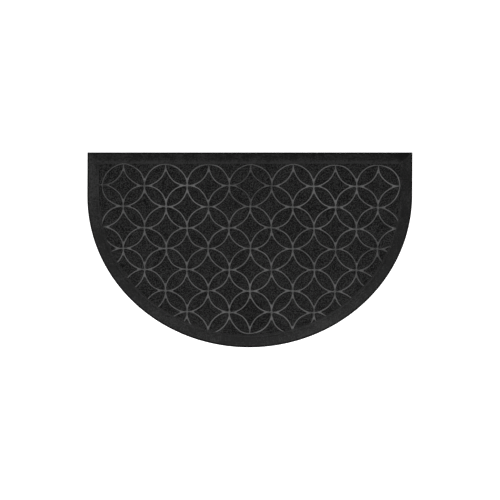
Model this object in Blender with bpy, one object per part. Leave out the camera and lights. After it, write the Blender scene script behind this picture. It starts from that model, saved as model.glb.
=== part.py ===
"""Half round doormat: a moulded rubber base with a bevelled rim, and a needled felt face in its tray.

Metres, +Z up. The mat lies flat. X runs along its straight edge, +Y points to that edge and -Y to the
curve. The origin is on the surface that the mat lies on, under the middle of its outline's box.
"""

import math

import bmesh
import bpy
from mathutils import Vector
from mathutils.geometry import delaunay_2d_cdt

MM = 0.001

# Outline: a straight edge, two short straight sides and half an ellipse
WIDTH = 762.0 * MM
DEPTH = 457.2 * MM
SIDE = 101.6 * MM
CURVE_STEPS = 72

HALF_WIDTH = WIDTH / 2
BACK_Y = DEPTH / 2
CURVE_Y = BACK_Y - SIDE
CURVE_DEPTH = DEPTH - SIDE

# Rim: its width along the sides and the curve, and along the straight edge
RIM_SIDE = 28.0 * MM
RIM_BACK = 25.0 * MM

# Rim section, from the mat's outer edge inwards: share of the rim's width, height
RIM_SECTION = (
    (0.00, 0.0 * MM),
    (0.00, 1.6 * MM),
    (0.03, 2.3 * MM),
    (0.30, 4.2 * MM),
    (0.56, 5.7 * MM),
    (0.76, 6.4 * MM),
    (0.88, 6.6 * MM),
    (0.92, 7.0 * MM),
    (0.98, 7.0 * MM),
    (1.00, 6.7 * MM),
    (1.00, 2.2 * MM),
)

# Felt face: it lies in the tray that the rim leaves, a little apart from the rubber
FELT_GAP = 0.3 * MM
TRAY_FLOOR = RIM_SECTION[-1][1]
FELT_TOP = 5.6 * MM
GROOVE_DEPTH = 1.5 * MM

# Pressed pattern: equal circles on a chequered grid whose step is their radius
CIRCLE_RADIUS = 49.7 * MM
GROOVE_WIDTH = 3.6 * MM
FIRST_ROW_Y = BACK_Y - 77.4 * MM
NOSE_REACH = 17.0 * MM
PETAL_STEPS = 6
STAR_STEPS = 4

# Plain felt left between the pattern and the felt's edge
MARGIN = 0.8 * MM

# Triangulation of the felt's plan: keep what lies inside an outline, and merge points closer than this
INSIDE_ONLY = 1
SAME_POINT = 0.02 * MM

RUBBER_COLOUR = (0.022, 0.022, 0.023, 1.0)
RUBBER_ROUGHNESS = 0.6
FELT_COLOUR = (0.016, 0.016, 0.017, 1.0)
FELT_ROUGHNESS = 0.95


def clear_scene():
    for thing in list(bpy.data.objects):
        bpy.data.objects.remove(thing, do_unlink=True)


def half_round(inset_side, inset_back):
    """The outline moved inwards, anticlockwise from above, starting at the back right corner."""
    side_x = HALF_WIDTH - inset_side
    points = [Vector((side_x, BACK_Y - inset_back)), Vector((-side_x, BACK_Y - inset_back))]
    for step in range(CURVE_STEPS + 1):
        angle = math.pi * (1 + step / CURVE_STEPS)
        rim = Vector((HALF_WIDTH * math.cos(angle), CURVE_DEPTH * math.sin(angle)))
        outward = Vector((rim.x / HALF_WIDTH**2, rim.y / CURVE_DEPTH**2)).normalized()
        points.append(Vector((0.0, CURVE_Y)) + rim - outward * inset_side)
    return points


def arc(centre, radius, start, end, steps):
    """Points along an arc, both ends included."""
    return [
        centre + radius * Vector((math.cos(angle), math.sin(angle)))
        for angle in (start + (end - start) * step / steps for step in range(steps + 1))
    ]


def finish(mesh_builder, name, colour, roughness):
    """Turns a bmesh into a named object with its own material."""
    mesh = bpy.data.meshes.new(name)
    mesh_builder.to_mesh(mesh)
    mesh_builder.free()
    piece = bpy.data.objects.new(name, mesh)
    bpy.context.collection.objects.link(piece)
    material = bpy.data.materials.new(name)
    material.use_nodes = True
    shader = material.node_tree.nodes["Principled BSDF"]
    shader.inputs["Base Color"].default_value = colour
    shader.inputs["Roughness"].default_value = roughness
    mesh.materials.append(material)
    return piece


def rubber_base():
    """One moulding: flat underside, bevelled rim with mitred back corners, and the tray for the felt."""
    builder = bmesh.new()
    rings = [
        [
            builder.verts.new((point.x, point.y, height))
            for point in half_round(share * RIM_SIDE, share * RIM_BACK)
        ]
        for share, height in RIM_SECTION
    ]
    for low, high in zip(rings, rings[1:]):
        for here in range(len(low)):
            after = (here + 1) % len(low)
            builder.faces.new((low[here], low[after], high[after], high[here]))
    builder.faces.new(reversed(rings[0]))
    builder.faces.new(rings[-1])
    return finish(builder, "rubber_base", RUBBER_COLOUR, RUBBER_ROUGHNESS)


def petal():
    """The felt left where two circles overlap: a lens, given about its own middle."""
    radius = CIRCLE_RADIUS - GROOVE_WIDTH / 2
    tip_x = (CIRCLE_RADIUS + math.sqrt(2 * radius**2 - CIRCLE_RADIUS**2)) / 2
    start = math.acos(tip_x / radius)
    near_centre = Vector((0.0, 0.0))
    far_centre = Vector((CIRCLE_RADIUS, CIRCLE_RADIUS))
    one_side = arc(near_centre, radius, start, math.pi / 2 - start, PETAL_STEPS)
    other_side = arc(far_centre, radius, math.pi + start, 1.5 * math.pi - start, PETAL_STEPS)
    middle = (near_centre + far_centre) / 2
    return [point - middle for point in one_side[:-1] + other_side[:-1]]


def star():
    """The felt left inside a circle: a square with hollow sides and blunt points, about its middle."""
    radius = CIRCLE_RADIUS + GROOVE_WIDTH / 2
    start = math.asin(NOSE_REACH / radius)
    reach = CIRCLE_RADIUS * math.sqrt(2)
    points = []
    for quarter in range(4):
        turn = quarter * math.pi / 2
        diagonal = turn + math.pi / 4
        centre = reach * Vector((math.cos(diagonal), math.sin(diagonal)))
        first = turn + 1.5 * math.pi - start
        last = turn + math.pi + start
        points += arc(centre, radius, first, last, STAR_STEPS)
    return points


def inside(point, outline):
    """Whether a point lies inside a convex outline that runs anticlockwise."""
    sides = zip(outline, outline[1:] + outline[:1])
    return all((after - here).cross(point - here) > 0 for here, after in sides)


def islands(field):
    """Outlines of the raised felt between the grooves, as far as the pattern's field reaches."""
    lens = petal()
    turned_lens = [Vector((-point.y, point.x)) for point in lens]
    hollow_square = star()
    columns = math.ceil(HALF_WIDTH / CIRCLE_RADIUS)
    rows = math.ceil(DEPTH / CIRCLE_RADIUS)
    outlines = []
    for column in range(-columns, columns + 1):
        for row in range(-rows, rows + 1):
            corner = Vector((column * CIRCLE_RADIUS, FIRST_ROW_Y + row * CIRCLE_RADIUS))
            middle = corner + Vector((CIRCLE_RADIUS, CIRCLE_RADIUS)) / 2
            has_circle = (column + row) % 2 == 0
            outlines.append([middle + point for point in (lens if has_circle else turned_lens)])
            if has_circle:
                outlines.append([corner + point for point in hollow_square])
    return [outline for outline in outlines if any(inside(point, field) for point in outline)]


def triangulate(outlines):
    """Triangles that fill some outlines seen from above, each with the numbers of the outlines over it."""
    points = []
    regions = []
    for outline in outlines:
        regions.append(list(range(len(points), len(points) + len(outline))))
        points += outline
    plan = delaunay_2d_cdt(points, [], regions, INSIDE_ONLY, SAME_POINT)
    corners = [point.to_tuple() for point in plan[0]]
    return {
        tuple(corners[index] for index in triangle): set(covering)
        for triangle, covering in zip(plan[2], plan[5])
    }


def sides_of(triangle):
    return zip(triangle, triangle[1:] + triangle[:1])


def boundary(triangles):
    """The points round the outside of a patch of triangles, in order."""
    sides = {side for triangle in triangles for side in sides_of(triangle)}
    follows = {here: after for here, after in sides if (after, here) not in sides}
    loop = [min(follows)]
    while follows[loop[-1]] != loop[0]:
        loop.append(follows[loop[-1]])
    return loop


def felt_tops():
    """The felt from above, as triangles with the height of each: the pressed field, and a plain margin."""
    field = half_round(RIM_SIDE + FELT_GAP + MARGIN, RIM_BACK + FELT_GAP + MARGIN)
    tops = {}
    for triangle, covering in triangulate([field] + islands(field)).items():
        if 0 in covering:
            tops[triangle] = FELT_TOP - GROOVE_DEPTH if covering == {0} else FELT_TOP
    field_edge = [Vector(point) for point in boundary(tops)]
    felt_edge = half_round(RIM_SIDE + FELT_GAP, RIM_BACK + FELT_GAP)
    for triangle, covering in triangulate([felt_edge, field_edge]).items():
        if covering == {0}:
            tops[triangle] = FELT_TOP
    return tops


def felt_face():
    """The felt sheet, its pattern pressed into the top as grooves that stop short of its edge."""
    tops = felt_tops()
    bottom = TRAY_FLOOR + FELT_GAP
    builder = bmesh.new()
    made = {}

    def vertex(point, height):
        if (point, height) not in made:
            made[point, height] = builder.verts.new((*point, height))
        return made[point, height]

    side_heights = {}
    for triangle, height in tops.items():
        builder.faces.new([vertex(point, height) for point in triangle])
        for side in sides_of(triangle):
            side_heights[side] = height
    for (here, after), height in side_heights.items():
        low = side_heights.get((after, here), bottom)
        if height > low:
            corners = ((here, low), (after, low), (after, height), (here, height))
            builder.faces.new([vertex(point, level) for point, level in corners])
    builder.faces.new([vertex(point, bottom) for point in reversed(boundary(tops))])
    return finish(builder, "felt_face", FELT_COLOUR, FELT_ROUGHNESS)


def main():
    clear_scene()
    rubber_base()
    felt_face()


main()
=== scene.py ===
# %% [markdown]
# # Half round doormat
#
# A flat mat for a doorstep: one moulding of black rubber with a bevelled rim, and a face of needled felt
# laid in its tray. A pattern of overlapping circles is pressed into the felt. The lesson models both
# pieces around the imported model, gives them their finishes, and sets up the light and the camera.
#
# The first cell loads the imported model. It is the frame that everything here is measured from, and none
# of it is moved. Its boxes are measured and printed.

# %% Load the imported model
import math

import bpy
import numpy as np
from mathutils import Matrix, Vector


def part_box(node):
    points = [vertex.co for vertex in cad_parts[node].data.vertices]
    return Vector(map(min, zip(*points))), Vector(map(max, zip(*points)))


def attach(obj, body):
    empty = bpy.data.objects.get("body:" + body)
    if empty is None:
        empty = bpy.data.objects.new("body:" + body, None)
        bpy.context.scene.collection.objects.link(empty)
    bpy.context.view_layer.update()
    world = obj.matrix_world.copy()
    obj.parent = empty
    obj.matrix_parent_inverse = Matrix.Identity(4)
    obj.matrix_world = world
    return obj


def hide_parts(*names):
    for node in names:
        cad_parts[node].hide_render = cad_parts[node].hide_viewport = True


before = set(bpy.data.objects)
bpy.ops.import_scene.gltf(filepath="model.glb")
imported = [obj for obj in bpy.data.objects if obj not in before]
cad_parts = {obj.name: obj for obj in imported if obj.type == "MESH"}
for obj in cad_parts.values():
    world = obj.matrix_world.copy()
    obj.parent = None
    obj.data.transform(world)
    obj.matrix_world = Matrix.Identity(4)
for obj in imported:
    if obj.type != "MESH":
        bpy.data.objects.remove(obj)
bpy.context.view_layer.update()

MM = 0.001
rubber_low, rubber_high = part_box("rubber_base")
felt_low, felt_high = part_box("felt_face")
print("rubber box", rubber_low, rubber_high)
print("felt box", felt_low, felt_high)

# %% [markdown]
# ## Camera
#
# The photograph looks straight down, and the mat shows no perspective in it. So the camera has a long
# lens and stands far above. The mat's width against the photograph's width gives the height.

# %% Put the camera above the mat
PHOTO_SIDE = 500
MAT_WIDTH_PIXELS = 325.0
MAT_CENTRE_PIXEL = (249.95, 249.95)
LENS = 135.0
SENSOR = 36.0

mat_width = rubber_high.x - rubber_low.x
pixel = mat_width / MAT_WIDTH_PIXELS
off_centre = [(PHOTO_SIDE / 2 - place) * pixel for place in MAT_CENTRE_PIXEL]
camera_height = PHOTO_SIDE * pixel * LENS / SENSOR
camera_data = bpy.data.cameras.new("camera")
camera_data.lens = LENS
camera_data.sensor_width = SENSOR
camera_data.clip_end = 4 * camera_height
camera = bpy.data.objects.new("camera", camera_data)
camera.location = (off_centre[0], -off_centre[1], camera_height)
bpy.context.collection.objects.link(camera)
bpy.context.scene.camera = camera
print("camera height", round(camera_height, 3), "m, one pixel", round(pixel / MM, 3), "mm")

# %% [markdown]
# ## The half round outline
#
# From above, the mat is a straight edge, two short straight sides and half an ellipse. The rim and the
# felt have the same outline, moved inwards. On the curve, a point moves along the direction that is
# square to the ellipse there, which keeps the rim the same width all the way round.

# %% Sizes of the outline
SIDE = 101.6 * MM
RIM_SIDE = 28.0 * MM
RIM_BACK = 25.0 * MM

half_width = rubber_high.x
back_y = rubber_high.y
curve_y = back_y - SIDE
curve_depth = curve_y - rubber_low.y


def curve_point(angle, inset):
    """A point of the curve moved inwards, and the direction outwards there, as seen from above."""
    rim = Vector((half_width * math.cos(angle), curve_depth * math.sin(angle), 0.0))
    outward = Vector((rim.x / half_width**2, rim.y / curve_depth**2, 0.0)).normalized()
    return Vector((0.0, curve_y, 0.0)) + rim - outward * inset, outward


print("curve is half an ellipse of", round(half_width / MM, 1), "by", round(curve_depth / MM, 1), "mm")

# %% [markdown]
# ## Modelling helpers
#
# The operators act on all that is selected, and loading the model leaves its nodes selected. So each
# piece starts with nothing selected, and vertices are then picked in code by where they are.

# %% Start a piece, and pick vertices by place
def start_piece(name, add_primitive, **settings):
    """Adds a primitive with nothing else selected, and leaves it in edit mode."""
    bpy.ops.object.select_all(action="DESELECT")
    add_primitive(**settings)
    piece = bpy.context.object
    piece.name = piece.data.name = name
    bpy.ops.object.mode_set(mode="EDIT")
    return piece


def pick_vertices(piece, wanted):
    """In edit mode, selects the vertices whose place passes a test."""
    bpy.ops.mesh.select_mode(type="VERT")
    bpy.ops.mesh.select_all(action="DESELECT")
    bpy.ops.object.mode_set(mode="OBJECT")
    for vertex in piece.data.vertices:
        vertex.select = wanted(piece.matrix_world @ vertex.co)
    bpy.ops.object.mode_set(mode="EDIT")


def settle(piece):
    """Leaves edit mode and moves the piece's place into its mesh."""
    bpy.ops.object.mode_set(mode="OBJECT")
    bpy.ops.object.transform_apply(location=True, rotation=True, scale=True)
    piece.data.calc_loop_triangles()
    print(piece.name, "has", len(piece.data.loop_triangles), "triangles")


# %% [markdown]
# ## Rubber base: the blank
#
# The real base is one moulding, so it is one closed mesh. It could be a curve with a section swept along
# it, but the mitred corners and the flat middle are easier as a face that is inset again and again. The
# blank is that face: half of a circle, stretched to the ellipse, with the straight sides extruded.

# %% Cut the half round blank
CURVE_POINTS = 288
TOUCH = 0.01 * MM

centre = (0.0, curve_y, 0.0)
rubber = start_piece(
    "rubber", bpy.ops.mesh.primitive_circle_add,
    vertices=CURVE_POINTS, radius=half_width, location=centre,
)
bpy.ops.transform.resize(value=(1.0, curve_depth / half_width, 1.0), center_override=centre)
bpy.ops.mesh.bisect(plane_co=centre, plane_no=(0.0, 1.0, 0.0), clear_outer=True, threshold=TOUCH)
pick_vertices(rubber, lambda place: abs(place.y - curve_y) < TOUCH)
bpy.ops.mesh.extrude_region_move(TRANSFORM_OT_translate={"value": (0.0, SIDE, 0.0)})
bpy.ops.mesh.edge_face_add()
bpy.ops.mesh.select_all(action="SELECT")
bpy.ops.mesh.edge_face_add()

# %% [markdown]
# ## Rubber base: the rim
#
# The rim is a thin outer edge, a long bevel that flattens a little, a slight hollow, and a rounded lip that
# falls to the felt. So its section is a list of steps inwards, each with its height above the floor. Each
# stretch of it is worked out from its own curve.

# %% Work out the rim's section
EDGE_HEIGHT = 1.1 * MM
EDGE_ROUND = 0.9 * MM
BEVEL_INSET, BEVEL_HEIGHT = 21.5 * MM, 6.65 * MM
BEVEL_EASE = 0.5
HOLLOW_INSET, HOLLOW_HEIGHT = 23.4 * MM, 6.5 * MM
LIP_FOOT = 6.6 * MM
CROWN_SHARE = 0.76
EDGE_STEPS, BEVEL_STEPS, HOLLOW_STEPS, LIP_STEPS = 3, 9, 3, 9
WALL_SLOPE = 0.05 * MM
UNDER_FELT = 0.3 * MM

tray_floor = felt_low.z - UNDER_FELT


def shares(steps):
    """How far along each of some equal steps ends, from just over 0 to 1."""
    return [(step + 1) / steps for step in range(steps)]


section = [(0.0, EDGE_HEIGHT)]
for share in shares(EDGE_STEPS):
    turn = share * math.pi / 2
    section.append((EDGE_ROUND * (1 - math.cos(turn)), EDGE_HEIGHT + EDGE_ROUND * math.sin(turn)))
inset_from, height_from = section[-1]
for share in shares(BEVEL_STEPS):
    rise = share * (1 + BEVEL_EASE - BEVEL_EASE * share)
    inset = inset_from + (BEVEL_INSET - inset_from) * share
    section.append((inset, height_from + (BEVEL_HEIGHT - height_from) * rise))
for share in shares(HOLLOW_STEPS):
    fall = (1 - math.cos(share * math.pi)) / 2
    inset = BEVEL_INSET + (HOLLOW_INSET - BEVEL_INSET) * share
    section.append((inset, BEVEL_HEIGHT + (HOLLOW_HEIGHT - BEVEL_HEIGHT) * fall))
lip_rise = rubber_high.z - HOLLOW_HEIGHT - (LIP_FOOT - HOLLOW_HEIGHT) * CROWN_SHARE
for share in shares(LIP_STEPS):
    swell = math.sin(math.pi * share ** (math.log(0.5) / math.log(CROWN_SHARE)))
    inset = HOLLOW_INSET + (RIM_SIDE - HOLLOW_INSET) * share
    section.append((inset, HOLLOW_HEIGHT + (LIP_FOOT - HOLLOW_HEIGHT) * share + lip_rise * swell))
section.append((RIM_SIDE + WALL_SLOPE, tray_floor))
lip_height = max(height for inset, height in section)
print("rim section in", len(section), "steps, highest", round(lip_height / MM, 2), "mm")

# %% [markdown]
# The blank is extruded up for the outer edge, and each inset then goes one step further in and up or down,
# until the face that is left is the floor of the tray.

# %% Raise the edge and inset the rim
bpy.ops.mesh.extrude_region_move(TRANSFORM_OT_translate={"value": (0.0, 0.0, EDGE_HEIGHT)})
for (here, low), (after, high) in zip(section, section[1:]):
    bpy.ops.mesh.inset(thickness=after - here, depth=high - low, use_even_offset=True)

# %% [markdown]
# The rim is a little narrower along the straight edge. Every vertex behind the straight sides belongs to
# a mitred corner, so drawing those towards the back edge narrows the rim there and keeps the mitre.
# The mitre's edges are marked sharp, as the crease shows in the photograph.

# %% Narrow the back rim and crease its corners
RUBBER_SMOOTH_ANGLE = math.radians(35)

corners_y = curve_y + SIDE / 4
pick_vertices(rubber, lambda place: place.y > corners_y)
bpy.ops.transform.resize(value=(1.0, RIM_BACK / RIM_SIDE, 1.0), center_override=(0.0, back_y, 0.0))
for side in (-1, 1):
    pick_vertices(rubber, lambda place: place.x * side > 0 and place.y > corners_y)
    bpy.ops.mesh.mark_sharp()
bpy.ops.mesh.select_all(action="SELECT")
bpy.ops.mesh.normals_make_consistent(inside=False)
settle(rubber)
bpy.ops.object.shade_smooth_by_angle(angle=RUBBER_SMOOTH_ANGLE, keep_sharp_edges=True)
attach(rubber, "root")
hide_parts("rubber_base")

# %% [markdown]
# ## Felt face: one tile of the pattern
#
# The pattern is a traditional one: equal circles on a chequered grid whose step is their radius, so that
# each passes through its neighbours' crossings. The lines are pressed into the felt, and look 3.6 mm wide.
# A plain grid would need half a million faces to show them, so the mesh follows the lines instead.
# One tile is a square on its point about a circle's middle. It is mirrored from a quarter, which has one
# arc through it, with rows close together beside the arc and columns close together at the crossings.

# %% Sizes of the pattern
RADIUS = 49.7 * MM
ALONG = 20
ACROSS = 8
CLOSE_ROWS = 5
CLOSE_REACH = 2.8 * MM


def lay_quarter(grid):
    """Places a square grid's points, from -1 to 1 both ways, along the arc of the quarter tile."""
    share = (grid[:, 0] + 1) / 2
    share = (share + (1 - np.cos(share * math.pi)) / 2) / 2
    turn = math.pi + share * math.pi / 2
    direction = np.stack([np.cos(turn), np.sin(turn)], axis=1)
    to_axis = RADIUS / np.abs(direction).max(axis=1) - RADIUS
    to_middle = RADIUS - RADIUS / np.abs(direction.sum(axis=1))
    reach = np.where(grid[:, 1] > 0, to_axis, to_middle)
    row = np.abs(grid[:, 1]) * ACROSS
    close = np.minimum(CLOSE_REACH, reach * CLOSE_ROWS / ACROSS)
    near = close * row / CLOSE_ROWS
    far = close + (reach - close) * (row - CLOSE_ROWS) / (ACROSS - CLOSE_ROWS)
    distance = np.where(row <= CLOSE_ROWS, near, far) * np.sign(grid[:, 1])
    return np.array([RADIUS, RADIUS]) + direction * (RADIUS + distance)[:, None]


# %% [markdown]
# Numbers for many vertices at once are read from the mesh and written back as one array.

# %% Make the tile
def get_places(piece):
    places = np.empty(len(piece.data.vertices) * 3)
    piece.data.vertices.foreach_get("co", places)
    return places.reshape(-1, 3)


def set_places(piece, places):
    piece.data.vertices.foreach_set("co", places.ravel())
    piece.data.update()


felt = start_piece(
    "felt", bpy.ops.mesh.primitive_grid_add,
    x_subdivisions=ALONG, y_subdivisions=2 * ACROSS, size=2.0, location=(0.0, 0.0, 0.0),
)
bpy.ops.object.mode_set(mode="OBJECT")
places = get_places(felt)
places[:, :2] = lay_quarter(places[:, :2])
set_places(felt, places)
print("quarter tile has", len(felt.data.polygons), "faces")

# %% [markdown]
# A Mirror modifier makes the whole tile, and three Array modifiers lay it out: a pair on the diagonal,
# then the pairs along the row, then the rows. The sheet is larger than the mat, and is cut down later.

# %% Lay out the sheet
COLUMNS = 9
ROW_PAIRS = 6
ROWS_BELOW = 8
FIRST_ROW_DOWN = 77.4 * MM

first_row = back_y - FIRST_ROW_DOWN


def apply_modifier(piece, kind, **settings):
    """Adds a modifier, sets it up and applies it."""
    modifier = piece.modifiers.new(kind.title(), kind)
    for name, value in settings.items():
        setattr(modifier, name, value)
    bpy.ops.object.modifier_apply(modifier=modifier.name)


apply_modifier(felt, "MIRROR", use_axis=(True, True, False), merge_threshold=TOUCH)
repeats = (
    (2, (RADIUS, RADIUS, 0.0)),
    (COLUMNS, (2 * RADIUS, 0.0, 0.0)),
    (ROW_PAIRS, (0.0, 2 * RADIUS, 0.0)),
)
for count, step in repeats:
    apply_modifier(
        felt, "ARRAY", count=count, use_relative_offset=False,
        use_constant_offset=True, constant_offset_displace=step,
    )
bpy.ops.object.mode_set(mode="EDIT")
bpy.ops.mesh.select_all(action="SELECT")
bpy.ops.mesh.remove_doubles(threshold=TOUCH)
bpy.ops.object.mode_set(mode="OBJECT")
places = get_places(felt)
places[:, 0] -= (COLUMNS - 1) * RADIUS
places[:, 1] += first_row - ROWS_BELOW * RADIUS
print("sheet has", len(felt.data.polygons), "faces")

# %% [markdown]
# ## Felt face: pressing the pattern
#
# The press leaves a line along each circle, with rounded shoulders that end 2.2 mm from its middle. Where
# two lines draw together, the thin point of felt between them is pressed flat too, so each crossing has
# short webs. Three measures are taken at every point of the sheet: the distance to the nearest line, the
# gap between the two lines that pass it outside their circles, and the distance to the nearest crossing.

# %% Measure the sheet against the circles
LAST_COLUMN = 7
FIRST_ROW, LAST_ROW = -7, 1
WEB_FULL = 4.8 * MM
WEB_END = 6.6 * MM


def soft_step(value, low, high):
    """From 0 at low to 1 at high, with soft ends."""
    share = np.clip((value - low) / (high - low), 0.0, 1.0)
    return share * share * (3 - 2 * share)


nearest = np.full(len(places), RADIUS)
first_outside = np.full(len(places), RADIUS)
second_outside = np.full(len(places), RADIUS)
to_crossing = np.full(len(places), RADIUS)
circles = 0
for column in range(-LAST_COLUMN, LAST_COLUMN + 1):
    for row in range(FIRST_ROW, LAST_ROW + 1):
        if (column + row) % 2 == 0:
            circles += 1
            middle = np.array([column * RADIUS, first_row + row * RADIUS])
            beyond = np.linalg.norm(places[:, :2] - middle, axis=1) - RADIUS
            nearest = np.minimum(nearest, np.abs(beyond))
            outside = np.where(beyond > 0, beyond, RADIUS)
            second_outside = np.minimum(second_outside, np.maximum(first_outside, outside))
            first_outside = np.minimum(first_outside, outside)
            for beside in (middle - (RADIUS, 0.0), middle + (RADIUS, 0.0)):
                away = np.linalg.norm(places[:, :2] - beside, axis=1)
                to_crossing = np.minimum(to_crossing, away)
print("pressed with", circles, "circles")

# %% [markdown]
# The press went deepest along the lines and eased where many of them meet, because the felt there had no
# room to give way. Between the lines the felt swells a little. The outermost arcs end the pattern:
# nothing is pressed beyond them.

# %% Press the sheet
LINE_FLOOR = 0.4 * MM
LINE_EDGE = 2.2 * MM
PRESS_DEPTH = 1.25 * MM
SWELL = 0.15 * MM
SWELL_FROM, SWELL_TO = LINE_EDGE / 2, 6 * LINE_EDGE
WEB_PRESS = 0.9
CROSSING_REACH = 22 * MM
CROSSING_CORE = CROSSING_REACH / 3
CROSSING_EASE = 0.34
PAST_ARCS, FADE_ARCS = 1.2 * MM, 2.4 * MM

line = 1 - soft_step(nearest, LINE_FLOOR, LINE_EDGE)
web = 1 - soft_step(first_outside + second_outside, WEB_FULL, WEB_END)
ease = CROSSING_EASE * (1 - soft_step(to_crossing, CROSSING_CORE, CROSSING_REACH))
pattern_middle = first_row + (FIRST_ROW + LAST_ROW) / 2 * RADIUS
past_arcs = np.abs(places[:, 1] - pattern_middle) - (LAST_ROW - FIRST_ROW) / 2 * RADIUS
inside = 1 - soft_step(past_arcs, PAST_ARCS, FADE_ARCS)
pressed = (1 - (1 - line) * (1 - WEB_PRESS * web)) * (1 - ease) * inside
swollen = soft_step(nearest, SWELL_FROM, SWELL_TO)
places[:, 2] = felt_high.z - PRESS_DEPTH * pressed + SWELL * (swollen - 0.5)
print("deepest line", round((felt_high.z - places[:, 2].min()) / MM, 2), "mm")

# %% [markdown]
# On the real mat the pattern isn't laid quite true: it sinks a quarter of a degree to the right, the rows
# of its far half are drawn 2 mm nearer, and its lines wander by a millimetre or so. A few long waves move
# the sheet's points about, the same each time that the script runs, and a few places are pushed aside.

# %% Let the pattern wander
DROOP = 0.0041
SHIFT = Vector((2.2, 1.0)) * MM
WANDER = 0.4 * MM
WAVES = ((61, 13, 0.4), (-29, 47, 2.1), (83, -71, 4.4))
ROW_WAVE_PACE, ROW_WAVE_PHASE = 1.3, 1.0
UNEVEN, UNEVEN_PACE = 0.04 * MM, 2.7
FAR_HALF_NEARER = 2.3 * MM
FAR_HALF_FROM, FAR_HALF_TO = -8 * MM, 30 * MM
PUSHED = (
    ((0, 85), 60, (-1.0, 2.6)), ((-325, 85), 60, (-1.0, 2.4)), ((-245, 30), 80, (1.4, 0.0)),
    ((180, 140), 100, (-1.0, 0.0)), ((-100, -140), 80, (1.2, 0.0)), ((365, 150), 50, (2.3, 0.0)),
)

places[:, 1] -= DROOP * places[:, 0]
x, y = places[:, 0].copy(), places[:, 1].copy()
places[:, 0] += SHIFT.x
places[:, 1] += SHIFT.y - FAR_HALF_NEARER * soft_step(y, FAR_HALF_FROM, FAR_HALF_TO)
for along, over, phase in WAVES:
    wave = along * x + over * y + phase
    places[:, 0] += WANDER * np.sin(wave)
    places[:, 1] += WANDER * np.cos(ROW_WAVE_PACE * wave + ROW_WAVE_PHASE)
    places[:, 2] += UNEVEN * np.sin(UNEVEN_PACE * wave)
for spot, reach, push in PUSHED:
    away = np.hypot(x - spot[0] * MM, y - spot[1] * MM) / (reach * MM)
    places[:, :2] += np.exp(-away * away)[:, None] * np.array(push) * MM
set_places(felt, places)
print("pattern moved in", len(PUSHED), "places")

# %% [markdown]
# ## Felt face: cutting it out
#
# The outline bulges everywhere, so the sheet is cut to it by straight cuts alone: each bisect throws
# away what is beyond one side. Ninety cuts are enough for the curve to look round. The cuts leave edges
# too short to matter, and so do the crossings, where the tile's rows draw together, so those are merged.

# %% Cut the sheet to the panel
CUTS = 90
SHORTEST_EDGE = 0.12 * MM

right_x = felt_high.x
felt_inset = half_width - right_x
cuts = [
    (Vector((0.0, felt_high.y, 0.0)), Vector((0.0, 1.0, 0.0))),
    (Vector((right_x, 0.0, 0.0)), Vector((1.0, 0.0, 0.0))),
    (Vector((-right_x, 0.0, 0.0)), Vector((-1.0, 0.0, 0.0))),
]
cuts += [curve_point(-math.pi * (step + 0.5) / CUTS, felt_inset) for step in range(CUTS)]
bpy.ops.object.mode_set(mode="EDIT")
for point, outward in cuts:
    bpy.ops.mesh.select_all(action="SELECT")
    bpy.ops.mesh.bisect(plane_co=point, plane_no=outward, clear_outer=True, threshold=TOUCH)
bpy.ops.mesh.select_all(action="SELECT")
bpy.ops.mesh.remove_doubles(threshold=SHORTEST_EDGE)

# %% [markdown]
# The felt could be given its thickness by a Solidify modifier, but that would press the pattern into its
# underside as well, and the real underside is glued flat. So the cut edge is extruded down, flattened at
# the felt's lowest height, and closed with one face, which is poked into a fan of plain triangles.

# %% Give the felt its thickness
FELT_SMOOTH_ANGLE = math.radians(60)

bpy.ops.mesh.select_mode(type="EDGE")
bpy.ops.mesh.select_all(action="DESELECT")
bpy.ops.mesh.select_non_manifold()
bpy.ops.mesh.extrude_region_move(TRANSFORM_OT_translate={"value": (0.0, 0.0, -1.0 * MM)})
bpy.ops.transform.resize(value=(1.0, 1.0, 0.0), center_override=(0.0, 0.0, felt_low.z))
bpy.ops.mesh.edge_face_add()
bpy.ops.mesh.poke()
bpy.ops.mesh.select_all(action="SELECT")
bpy.ops.mesh.normals_make_consistent(inside=False)
settle(felt)
bpy.ops.object.shade_smooth_by_angle(angle=FELT_SMOOTH_ANGLE)

# %% [markdown]
# The photographed mat isn't quite square either: its curve hangs about 2 mm to the left of the middle of
# its straight edge. Both pieces lean together, so they still fit.

# %% Lean both pieces
LEAN = 0.0046

for piece in (rubber, felt):
    places = get_places(piece)
    places[:, 0] -= LEAN * (back_y - places[:, 1])
    set_places(piece, places)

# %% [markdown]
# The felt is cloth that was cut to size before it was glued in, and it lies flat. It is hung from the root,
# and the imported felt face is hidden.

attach(felt, "root")
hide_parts("felt_face")

# %% [markdown]
# ## Finishes: writing shader maths as Python
#
# Both finishes vary over the surface in ways that come down to sums on numbers. A small class stands for
# whatever comes out of a node. Adding or multiplying two of them adds the Math node that does it.

# %% A material, and what comes out of its nodes
class Finish:
    """A material and its nodes. What feeds a socket is either a value or a Wire."""

    def __init__(self, name):
        self.material = bpy.data.materials.new(name)
        self.material.use_nodes = True
        self.tree = self.material.node_tree
        self.surface = self.tree.nodes["Principled BSDF"]

    def feed(self, socket, value):
        if isinstance(value, Wire):
            self.tree.links.new(value.socket, socket)
        else:
            socket.default_value = value

    def node(self, kind, settings=None, sockets=None, output=0):
        """Adds a node, sets it up, feeds its sockets and returns what comes out of it."""
        made = self.tree.nodes.new("ShaderNode" + kind)
        for name, value in (settings or {}).items():
            setattr(made, name, value)
        for name, value in (sockets or {}).items():
            self.feed(made.inputs[name], value)
        return Wire(self, made.outputs[output])

    def set(self, **sockets):
        """Feeds the surface: Base_Color=... stands for the socket named Base Color."""
        for name, value in sockets.items():
            self.feed(self.surface.inputs[name.replace("_", " ")], value)


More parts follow.
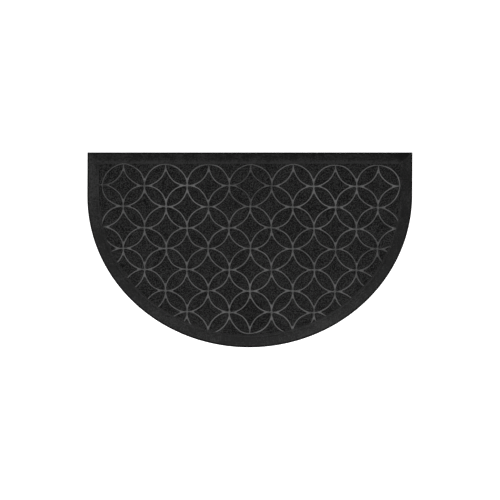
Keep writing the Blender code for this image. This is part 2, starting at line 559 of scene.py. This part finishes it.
class Wire:
    """What comes out of a node, so that sums on it can be written as Python."""

    def __init__(self, finish, socket):
        self.finish = finish
        self.socket = socket

    def maths(self, operation, first, second):
        return self.finish.node("Math", {"operation": operation}, {0: first, 1: second})

    def __add__(self, other):
        return self.maths("ADD", self, other)

    def __sub__(self, other):
        return self.maths("SUBTRACT", self, other)

    def __rsub__(self, other):
        return self.maths("SUBTRACT", other, self)

    def __mul__(self, other):
        return self.maths("MULTIPLY", self, other)

    def __pow__(self, power):
        return self.maths("POWER", self, power)

    def __abs__(self):
        return self.maths("ABSOLUTE", self, 0.0)

    __radd__ = __add__


# %% [markdown]
# The other helpers name the nodes that both finishes use: the place on the piece, cloudy noise of a given
# grain size, a range stretched to 0 and 1, a mix of two colours, a soft spot, and a bump. Both finishes
# also have named places that are lighter or darker than the rest, so a table of spots is added in a loop.

# %% Helpers for both finishes
def place_on(finish):
    return finish.node("TexCoord", output="Object")


def clouds(finish, place, grain, detail=2.0, roughness=0.5):
    """Soft noise between 0 and 1, whose blotches are about one grain across."""
    sockets = {"Vector": place, "Scale": 1 / grain, "Detail": detail, "Roughness": roughness}
    return finish.node("TexNoise", sockets=sockets)


def stretch(finish, value, low, high):
    """Takes low to 0 and high to 1, with soft ends and nothing beyond them."""
    sockets = {"Value": value, "From Min": low, "From Max": high}
    return finish.node("MapRange", {"interpolation_type": "SMOOTHSTEP"}, sockets)


def mix_colours(finish, share, first, second):
    return finish.node("Mix", {"data_type": "RGBA"}, {0: share, 6: first, 7: second}, output=2)


def near_spot(finish, place, spot, reach):
    """1 at a spot of the mat, falling softly to 0 at its reach."""
    sockets = {0: place, 1: (spot[0] * MM, spot[1] * MM, 0.0)}
    away = finish.node("VectorMath", {"operation": "DISTANCE"}, sockets, output="Value")
    return stretch(finish, away, reach * MM, 0.0)


def add_spots(finish, place, value, spots):
    """Adds to a value at spots in millimetres, each with its reach and how much it adds."""
    for spot, reach, adds in spots:
        value = value + near_spot(finish, place, spot, reach) * adds
    return value


def bump(finish, height, distance):
    return finish.node("Bump", sockets={"Height": height, "Distance": distance})


def grey(level):
    return (level, level, level, 1.0)


# %% [markdown]
# ## Rubber finish
#
# Moulded rubber made from ground crumb is matt and almost black, with cloudy patches where it flowed in
# the mould, and a fine grain. The thin outer edge is rougher, and is painted darker as a line of painted
# shade. The top of the lip gets a painted highlight, strongest on the curve, and so do the back lip and the
# crease of the right mitre. The tone is a sum of all these, from 0 to 1. First, each of those places is
# found from where a point is on the mat.

# %% Places on the rim
MITRE_BLEND = 0.4 * MM
CREASE_FROM, CREASE_TO = 2.0 * MM, 0.5 * MM
BACK_LIP_FROM, BACK_LIP_TO = 18 * MM, 22 * MM
CURVE_FROM, CURVE_TO = curve_y + 10 * MM, curve_y - 30 * MM
LIP_TOP_FROM, LIP_TOP_TO = 6.75 * MM, 6.95 * MM
DARK_EDGE_FROM, DARK_EDGE_TO = 3.3 * MM, 2.6 * MM

rubber_finish = Finish("rubber")
on_rubber = place_on(rubber_finish)
rubber_x, rubber_y, rubber_z = (
    rubber_finish.node("SeparateXYZ", sockets={"Vector": on_rubber}, output=axis) for axis in "XYZ"
)
in_from_back = back_y - rubber_y
in_from_side = half_width - abs(rubber_x)
past_mitre = in_from_side - in_from_back * (RIM_SIDE / RIM_BACK)
on_back = stretch(rubber_finish, past_mitre, -MITRE_BLEND, MITRE_BLEND)
on_right = stretch(rubber_finish, rubber_x, 0.0, half_width / 2)
# Painted highlights: the crease of the right mitre, the back lip and the top of the lip are painted
# lighter.
crease_highlight = on_right * stretch(rubber_finish, abs(past_mitre), CREASE_FROM, CREASE_TO)
back_lip_highlight = on_back * stretch(rubber_finish, in_from_back, BACK_LIP_FROM, BACK_LIP_TO)
on_curve = stretch(rubber_finish, rubber_y, CURVE_FROM, CURVE_TO)
lip_top_highlight = stretch(rubber_finish, rubber_z, LIP_TOP_FROM, LIP_TOP_TO)
# Painted shade: the thin outer edge is painted near black.
painted_shade_edge = stretch(rubber_finish, rubber_z, DARK_EDGE_FROM, DARK_EDGE_TO)
print("rim places take", len(rubber_finish.tree.nodes), "nodes")

# %% [markdown]
# Some places of the rim are painted lighter and others darker, as painted light and painted shade. Each has
# a spot and a reach in millimetres, and how much it adds to the tone. The straight rim ends in a dark
# triangle on the right, which stops at the mitre.

# %% Make the rubber finish
PAINTED_LIGHT_AND_SHADE = (
    ((-378, 165), 90, 0.14), ((-350, -30), 150, -0.2), ((-300, -95), 70, -0.05),
    ((-20, -228), 130, -0.18), ((180, -188), 120, 0.14), ((345, -10), 190, -0.2),
    ((352, 165), 45, -0.16),
)
DARK_END = ((366, 224), 36, -0.8)

patches = clouds(rubber_finish, on_rubber, 26 * MM, detail=3.0, roughness=0.6)
flow = clouds(rubber_finish, on_rubber, 8 * MM)
specks = clouds(rubber_finish, on_rubber, 2.8 * MM, detail=1.0)
grain = clouds(rubber_finish, on_rubber, 0.7 * MM)
# The tone sums the cloudy patches, the flow and the specks with the painted highlights.
tone = patches * 0.6 + flow * 0.5 + specks * 1.5 - 0.81 + back_lip_highlight * 0.2 + crease_highlight * 0.3
# The top of the lip gets a painted highlight, stronger on the curve.
tone = tone + lip_top_highlight * (0.16 + on_curve * 0.26)
tone = tone + near_spot(rubber_finish, on_rubber, *DARK_END[:2]) * on_back * DARK_END[2]
# Painted light and painted shade at the listed spots of the rim.
tone = add_spots(rubber_finish, on_rubber, tone, PAINTED_LIGHT_AND_SHADE)
tone = stretch(rubber_finish, tone, 0.3, 0.85)
surface_grey = mix_colours(rubber_finish, tone, grey(0.001), grey(0.024))
rubber_finish.set(
    # The outer edge is painted near black here, as painted shade.
    Base_Color=mix_colours(rubber_finish, painted_shade_edge, surface_grey, grey(0.001)),
    Roughness=0.5 + tone * 0.14 + painted_shade_edge * 0.35,
    Specular_IOR_Level=0.2,
    Normal=bump(rubber_finish, grain + specks * 3.0, 0.4 * MM),
)
rubber.data.materials.clear()
rubber.data.materials.append(rubber_finish.material)

# %% [markdown]
# ## Felt finish
#
# Needled felt is a tangle of short fibres that lie every way, dark with a few lighter ones. Four sets of
# long thin noise, turned against each other, stand for the tangle, and tufts of fibre make it speckled.
# The height of the felt itself says where a line is pressed: there the fibres are fused to a smooth,
# lighter skin. The press was harder in some places than in others, so the lines are fainter or stronger.

# %% Fibres that run one way
FIBRE_SETS = ((17, 3.6 * MM), (77, 4.2 * MM), (-41, 3.2 * MM), (-8, 5.0 * MM))
FIBRE_THICKNESS = 0.42 * MM

felt_finish = Finish("felt")
on_felt = place_on(felt_finish)


def fibres(turn_degrees, length):
    """Light strands on dark that run one way: 1 on a strand and 0 between them."""
    mapping = {
        "Vector": on_felt, "Rotation": (0.0, 0.0, math.radians(turn_degrees)),
        "Scale": (length, FIBRE_THICKNESS, FIBRE_THICKNESS),
    }
    turned = felt_finish.node("Mapping", {"vector_type": "TEXTURE"}, mapping)
    sockets = {"Vector": turned, "Scale": 1.0, "Detail": 1.0, "Distortion": 0.5}
    return stretch(felt_finish, felt_finish.node("TexNoise", sockets=sockets), 0.48, 0.68)


strands = [fibres(turn, length) for turn, length in FIBRE_SETS]
tangle = strands[0]
for strand in strands[1:]:
    tangle = strand + tangle * (1 - strand)
tufts = clouds(felt_finish, on_felt, 2.6 * MM, detail=1.0)
mottle = clouds(felt_finish, on_felt, 26 * MM, detail=1.0)
print("fibres and tufts take", len(felt_finish.tree.nodes), "nodes")

# %% [markdown]
# The felt's hem, where it meets the rim, gets a painted highlight that makes it lighter. At the back it is
# a straight band. Along the curve it follows the ellipse, which is measured here as it was before the mat
# leaned.

# %% The hem of the felt
HEM_INNER, HEM_OUTER = 2.8 * MM, 0.8 * MM
HEM_BEGINS = 0.1

felt_x, felt_y, felt_z = (
    felt_finish.node("SeparateXYZ", sockets={"Vector": on_felt}, output=axis) for axis in "XYZ"
)
across = (felt_x + (back_y - felt_y) * LEAN) * (1 / right_x)
down = (curve_y - felt_y) * (1 / (curve_depth - felt_inset))
to_curve = (1 - (across ** 2 + down ** 2) ** 0.5) * right_x
on_the_curve = stretch(felt_finish, down, 0.0, HEM_BEGINS)
# Painted highlight: the hem along the curve and at the back is painted lighter.
curve_hem_highlight = on_the_curve * stretch(felt_finish, to_curve, HEM_INNER, HEM_OUTER)
back_hem_highlight = stretch(felt_finish, felt_high.y - felt_y, HEM_INNER, HEM_OUTER)
hem_highlight = curve_hem_highlight + back_hem_highlight
print("hem is", round((HEM_INNER + HEM_OUTER) / 2 / MM, 1), "mm wide")

# %% [markdown]
# The places where the press was faint or strong are named by where they are on the mat, and so is one
# place where the felt itself is darker. The fibres give the pressed lines their ragged edge.

# %% Make the felt finish
FAINT_OR_STRONG = (
    ((-345, 165), 110, -0.2), ((0, 150), 75, -0.33), ((320, -40), 100, -0.25),
    ((-165, 125), 100, 0.35), ((180, 130), 130, 0.25), ((0, -170), 220, 0.12),
    ((350, 165), 80, 0.3),
)
DARK_FELT = (((-2, -150), 75, -0.2),)
RAGGED = 0.3 * MM
MASK_TOP = felt_high.z - 0.3 * PRESS_DEPTH
MASK_FLOOR = felt_high.z - 0.8 * PRESS_DEPTH

fluff = stretch(felt_finish, tangle * 0.16 + tufts * 0.95 + mottle * 0.1, 0.564, 0.726)
# The hem's painted highlight lightens the felt's colour there.
fluff = add_spots(felt_finish, on_felt, fluff + hem_highlight * 0.6, DARK_FELT)
fused = stretch(felt_finish, felt_z + (tangle - 0.6) * RAGGED, MASK_TOP, MASK_FLOOR)
strength = tufts * 0.6 + mottle * 0.3 + tangle * 0.15
strength = add_spots(felt_finish, on_felt, strength, FAINT_OR_STRONG)
strength = stretch(felt_finish, strength, 0.0, 1.0)
fluffy_grey = mix_colours(felt_finish, fluff, grey(0.001), grey(0.0337))
fused_grey = mix_colours(felt_finish, strength, grey(0.035), grey(0.15))
felt_finish.set(
    Base_Color=mix_colours(felt_finish, fused, fluffy_grey, fused_grey),
    Roughness=0.95 - fused * 0.25,
    Specular_IOR_Level=0.1,
    Normal=bump(felt_finish, (tangle * 0.25 + tufts * 1.5) * (1 - fused * 0.7), 0.6 * MM),
)
felt.data.materials.clear()
felt.data.materials.append(felt_finish.material)

# %% [markdown]
# ## Floor and light
#
# The mat lies on a plain white floor. A white sky all round gives a little light without shadows, and
# three soft boxes give the rest: the photograph's light comes mostly from the left and the near side.

# %% Lay the floor
FLOOR_SIZE = 14.0

bpy.ops.object.select_all(action="DESELECT")
bpy.ops.mesh.primitive_plane_add(size=FLOOR_SIZE, location=(0.0, 0.0, 0.0))
floor = bpy.context.object
floor.name = "floor"
floor_finish = Finish("floor")
floor_finish.set(Base_Color=grey(0.9), Roughness=0.9, Emission_Color=grey(1.0), Emission_Strength=0.7)
floor.data.materials.append(floor_finish.material)

# %% [markdown]
# A soft box is a large square light that faces the mat. Its place is given as a compass would: azimuth 0
# is on the mat's right, and 90 is beyond its straight edge. The camera doesn't see the boxes.

# %% Set up the light
BOX_SIZE = 1.4
BOX_DISTANCE = 2.4
SKY_STRENGTH = 0.2

world = bpy.data.worlds.new("sky")
bpy.context.scene.world = world
world.use_nodes = True
world.node_tree.nodes["Background"].inputs["Color"].default_value = (1.0, 1.0, 1.0, 1.0)
world.node_tree.nodes["Background"].inputs["Strength"].default_value = SKY_STRENGTH
bpy.context.scene.view_settings.view_transform = "Standard"


def soft_box(name, azimuth, elevation, power):
    """Hangs a soft box that faces the mat."""
    data = bpy.data.lights.new(name, "AREA")
    data.size = BOX_SIZE
    data.energy = power
    box = bpy.data.objects.new(name, data)
    turn, rise = math.radians(azimuth), math.radians(elevation)
    away = Vector((math.cos(turn) * math.cos(rise), math.sin(turn) * math.cos(rise), math.sin(rise)))
    box.location = away * BOX_DISTANCE
    box.rotation_euler = away.to_track_quat("Z", "Y").to_euler()
    box.visible_camera = False
    bpy.context.collection.objects.link(box)
    print("soft box", name, "at", [round(part, 2) for part in box.location])


soft_box("left", 180, 25, 24.0)
soft_box("near_right", 315, 35, 24.0)
soft_box("near", 270, 65, 28.0)

# %% [markdown]
# ## Finish
#
# Last, the view layer is brought up to date. The finished mat has to keep the size of the
# imported model.

# %% Bring the view layer up to date
bpy.context.view_layer.update()
